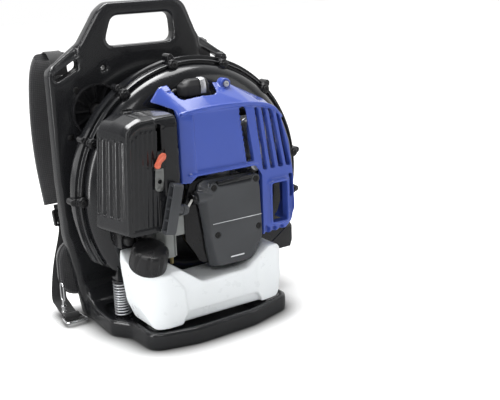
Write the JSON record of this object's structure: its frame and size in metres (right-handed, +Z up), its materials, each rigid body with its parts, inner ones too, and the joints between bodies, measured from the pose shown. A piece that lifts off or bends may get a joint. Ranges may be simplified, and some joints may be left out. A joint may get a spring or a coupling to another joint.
{
  "type": "backpack leaf blower",
  "caption": "Backpack leaf blower: two-stroke engine and scroll fan casing on a moulded pack frame with carry handle, harness, fuel tank and starter.",
  "frame": {"origin": "centre of the base tray's bottom face, where the machine stands on the ground", "axes": "+Z up, +Y the way the wearer faces (harness side), +X the wearer's right; the engine faces -Y"},
  "size_m": [0.4225, 0.3057, 0.5],
  "materials": {
    "frame_black": "satin",
    "pad_mesh": "matte",
    "webbing_black": "matte",
    "trim_black": "satin",
    "casing_black": "gloss",
    "rubber_black": "matte",
    "spring_steel": "satin",
    "cast_alloy": "matte",
    "machined_steel": "satin",
    "plug_ceramic": "gloss",
    "coil_resin": "matte",
    "filter_paper": "matte",
    "zinc_plate": "satin",
    "muffler_steel": "satin",
    "cover_blue": "gloss",
    "starter_grey": "satin",
    "screw_black": "satin",
    "tank_white": "satin",
    "hose_amber": "satin",
    "fan_grey": "matte",
    "pulley_nylon": "satin",
    "rope_white": "matte",
    "choke_orange": "satin",
    "cap_black": "satin",
    "chrome_wire": "polished"
  },
  "bodies": {
    "root": {"backpack_frame": "frame_black", "back_pad": "pad_mesh", "lumbar_pad": "pad_mesh", "shoulder_strap_left": "pad_mesh", "shoulder_strap_right": "pad_mesh", "lower_webbing": "webbing_black", "strap_adjusters": "trim_black", "volute_front_shell": "casing_black", "volute_rear_shell": "casing_black", "casing_clips": "trim_black", "outlet_elbow": "casing_black", "intake_net": "trim_black", "mount_cups": "trim_black", "rubber_mounts": "rubber_black", "suspension_springs": "spring_steel", "spring_seats": "trim_black", "support_legs": "casing_black", "crankcase": "cast_alloy", "main_bearings": "machined_steel", "cylinder": "cast_alloy", "spark_plug": "plug_ceramic", "ignition_coil": "coil_resin", "ht_lead": "rubber_black", "intake_manifold": "rubber_black", "carburetor": "cast_alloy", "air_box": "casing_black", "filter_element": "filter_paper", "cable_bracket": "zinc_plate", "primer_base": "trim_black", "muffler": "muffler_steel", "engine_cover": "cover_blue", "cover_screw": "machined_steel", "recoil_housing": "trim_black", "recoil_cover": "starter_grey", "recoil_screws": "screw_black", "rope_guide": "trim_black", "recoil_spring": "spring_steel", "side_guard": "starter_grey", "fuel_tank": "tank_white", "fuel_hose": "hose_amber", "starter_rope": "rope_white"},
    "rotor": {"crankshaft": "machined_steel", "flywheel": "machined_steel", "fan_impeller": "fan_grey", "starter_cup": "machined_steel"},
    "pulley": {"starter_pulley": "pulley_nylon"},
    "grip": {"starter_handle": "starter_grey"},
    "choke": {"choke_lever": "choke_orange"},
    "primer": {"primer_bulb": "rubber_black"},
    "cap_carrier": {"cap_seal": "rubber_black"},
    "cap": {"fuel_cap": "cap_black"},
    "filter_lid": {"filter_cover": "casing_black"},
    "lid_knob": {"filter_knob": "trim_black"},
    "boot": {"plug_boot": "rubber_black"},
    "piston": {"piston": "cast_alloy"},
    "rod": {"connecting_rod": "cast_alloy"},
    "hook_left": {"strap_hook_left": "chrome_wire"},
    "hook_right": {"strap_hook_right": "chrome_wire"},
    "ring_left": {"webbing_ring_left": "chrome_wire"},
    "ring_right": {"webbing_ring_right": "chrome_wire"}
  },
  "joints": [
    {"name": "rotor_spin", "type": "hinge", "parent": "root", "child": "rotor", "pos_m": [0.04, 0, 0.188], "axis": [0, 1, 0], "continuous": true},
    {"name": "pulley_turn", "type": "hinge", "parent": "root", "child": "pulley", "pos_m": [0.04, -0.0735, 0.188], "axis": [0, -1, 0], "range_deg": [0, 1343]},
    {"name": "grip_pull", "type": "slide", "parent": "root", "child": "grip", "axis": [-0.9397, -0.342, 0], "range_m": [0, 0.75]},
    {"name": "choke_turn", "type": "hinge", "parent": "root", "child": "choke", "pos_m": [-0.0837, -0.094, 0.287], "axis": [0, 1, 0], "range_deg": [0, 50]},
    {"name": "primer_press", "type": "slide", "parent": "root", "child": "primer", "axis": [0, 1, 0], "range_m": [0, 0.0035], "stiffness_N_per_m": 200},
    {"name": "cap_lift", "type": "slide", "parent": "root", "child": "cap_carrier", "axis": [0, -0.4226, 0.9063], "range_m": [0, 0.0081]},
    {"name": "cap_turn", "type": "hinge", "parent": "cap_carrier", "child": "cap", "pos_m": [-0.103, -0.073, 0.126], "axis": [0, -0.4226, 0.9063], "range_deg": [0, 720]},
    {"name": "filter_slide", "type": "slide", "parent": "root", "child": "filter_lid", "axis": [-1, 0, 0], "range_m": [0, 0.09]},
    {"name": "knob_turn", "type": "hinge", "parent": "filter_lid", "child": "lid_knob", "pos_m": [-0.106, -0.046, 0.344], "axis": [0, 0, 1], "range_deg": [0, 90]},
    {"name": "boot_pull", "type": "slide", "parent": "root", "child": "boot", "axis": [0, 0, 1], "range_m": [0, 0.04]},
    {"name": "piston_stroke", "type": "slide", "parent": "root", "child": "piston", "axis": [0, 0, -1], "range_m": [0, 0.034]},
    {"name": "rod_swing", "type": "hinge", "parent": "piston", "child": "rod", "pos_m": [0.04, -0.036, 0.275], "axis": [0, 1, 0], "range_deg": [-13, 13]},
    {"name": "hook_left_swivel", "type": "hinge", "parent": "root", "child": "hook_left", "pos_m": [-0.171, 0.098, 0.03], "axis": [0, 0, 1], "continuous": true},
    {"name": "hook_right_swivel", "type": "hinge", "parent": "root", "child": "hook_right", "pos_m": [0.155, 0.098, 0.03], "axis": [0, 0, 1], "continuous": true},
    {"name": "ring_left_lift", "type": "hinge", "parent": "root", "child": "ring_left", "pos_m": [-0.162, 0.092, 0.0065], "axis": [-1, 0, 0], "range_deg": [0, 80]},
    {"name": "ring_right_lift", "type": "hinge", "parent": "root", "child": "ring_right", "pos_m": [0.146, 0.092, 0.0065], "axis": [-1, 0, 0], "range_deg": [0, 80]}
  ],
  "couplings": [
    {"joint": "pulley_turn", "follows": "grip_pull", "rad_per_m": 31.25},
    {"joint": "cap_lift", "follows": "cap_turn", "m_per_rad": 0.00063662}
  ]
}
